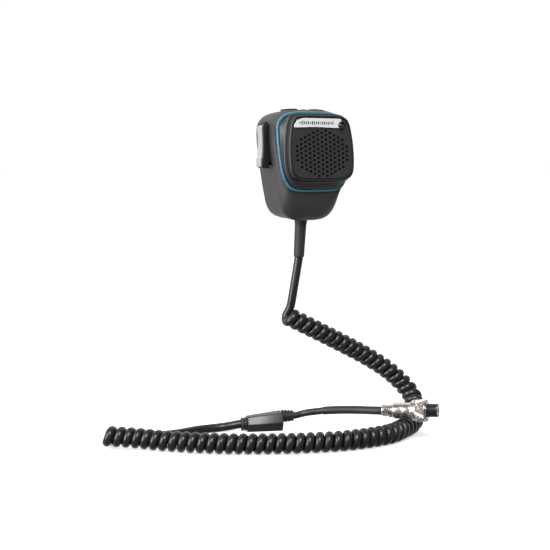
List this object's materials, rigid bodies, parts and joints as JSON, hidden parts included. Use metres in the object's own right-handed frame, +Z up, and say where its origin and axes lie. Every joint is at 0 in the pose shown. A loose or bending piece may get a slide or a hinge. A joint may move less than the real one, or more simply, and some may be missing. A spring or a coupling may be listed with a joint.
{
  "type": "hand microphone",
  "caption": "Palm-sized hand microphone for a two-way radio, with a side talk lever, top buttons, a curly cord, an in-line filter box and a round screw-on plug.",
  "frame": {"origin": "centre of the flat outer face of the hang-up stud on the back", "axes": "+Z up through the top buttons, +Y out of the back along the stud, so the grille faces -Y; +X to the right seen from the front"},
  "size_m": [0.2549, 0.1498, 0.2596],
  "materials": {
    "housing": "fine moulded texture",
    "black_plastic": "moulded, satin",
    "grille": "fine moulded texture",
    "trim": "moulded, semi-gloss",
    "grey_plastic": "moulded, satin",
    "badge": "silver paint",
    "nickel": "bright nickel plate",
    "steel": "zinc plate",
    "contact": "gold flash",
    "rubber": "smooth extruded or moulded jacket",
    "board": "solder mask",
    "cloth": "woven",
    "lens": "clear smoked"
  },
  "bodies": {
    "microphone": {"front_housing": "housing", "rear_cover": "housing", "front_shroud": "housing", "front_bezel": "black_plastic", "talk_switch": "black_plastic", "cord_clamp": "black_plastic", "box_lower_shell": "black_plastic", "box_upper_shell": "black_plastic", "plug_insert": "black_plastic", "grille_panel": "grille", "trim_ring": "trim", "name_badge": "badge", "cable_saddle": "nickel", "plug_shell": "nickel", "microphone_capsule": "nickel", "cover_screw_1": "steel", "cover_screw_2": "steel", "cover_screw_3": "steel", "cover_screw_4": "steel", "hanger_stud": "steel", "stud_nut": "steel", "lever_pin": "steel", "lever_spring": "steel", "up_switch": "steel", "down_switch": "steel", "clamp_screw_1": "steel", "clamp_screw_2": "steel", "lock_screw": "steel", "plug_contact_1": "contact", "plug_contact_2": "contact", "plug_contact_3": "contact", "plug_contact_4": "contact", "capsule_boot": "rubber", "strain_relief": "rubber", "mic_lead": "rubber", "curly_cord": "rubber", "box_lead": "rubber", "box_relief_out": "rubber", "box_relief_in": "rubber", "plug_cable": "rubber", "cable_sleeve": "rubber", "circuit_board": "board", "box_board": "board", "grille_cloth": "cloth", "signal_lens": "lens", "signal_lamp": "lens"},
    "talk_lever": {"talk_lever": "black_plastic", "lever_pad": "grey_plastic"},
    "up_button": {"up_button": "black_plastic"},
    "down_button": {"down_button": "black_plastic"},
    "nut_carrier": {"nut_snap_ring": "steel"},
    "coupling_nut": {"coupling_nut": "nickel"}
  },
  "joints": [
    {"name": "lever_press", "type": "hinge", "parent": "microphone", "child": "talk_lever", "pos_m": [-0.0311, -0.025, 0.0137], "axis": [0, -1, 0], "range_deg": [0, 4], "stiffness_Nm_per_rad": 0.8, "springref_deg": -2.86},
    {"name": "up_press", "type": "slide", "parent": "microphone", "child": "up_button", "axis": [0, 0, -1], "range_m": [0, 0.0008], "stiffness_N_per_m": 1500, "springref_m": -0.0005},
    {"name": "down_press", "type": "slide", "parent": "microphone", "child": "down_button", "axis": [0, 0, -1], "range_m": [0, 0.0008], "stiffness_N_per_m": 1500, "springref_m": -0.0005},
    {"name": "nut_slide", "type": "slide", "parent": "microphone", "child": "nut_carrier", "axis": [0.5426, -0.8355, 0.0872], "range_m": [0, 0.008]},
    {"name": "nut_spin", "type": "hinge", "parent": "nut_carrier", "child": "coupling_nut", "pos_m": [0.05388, -0.10556, -0.20549], "axis": [0.5426, -0.8355, 0.0872], "continuous": true}
  ]
}
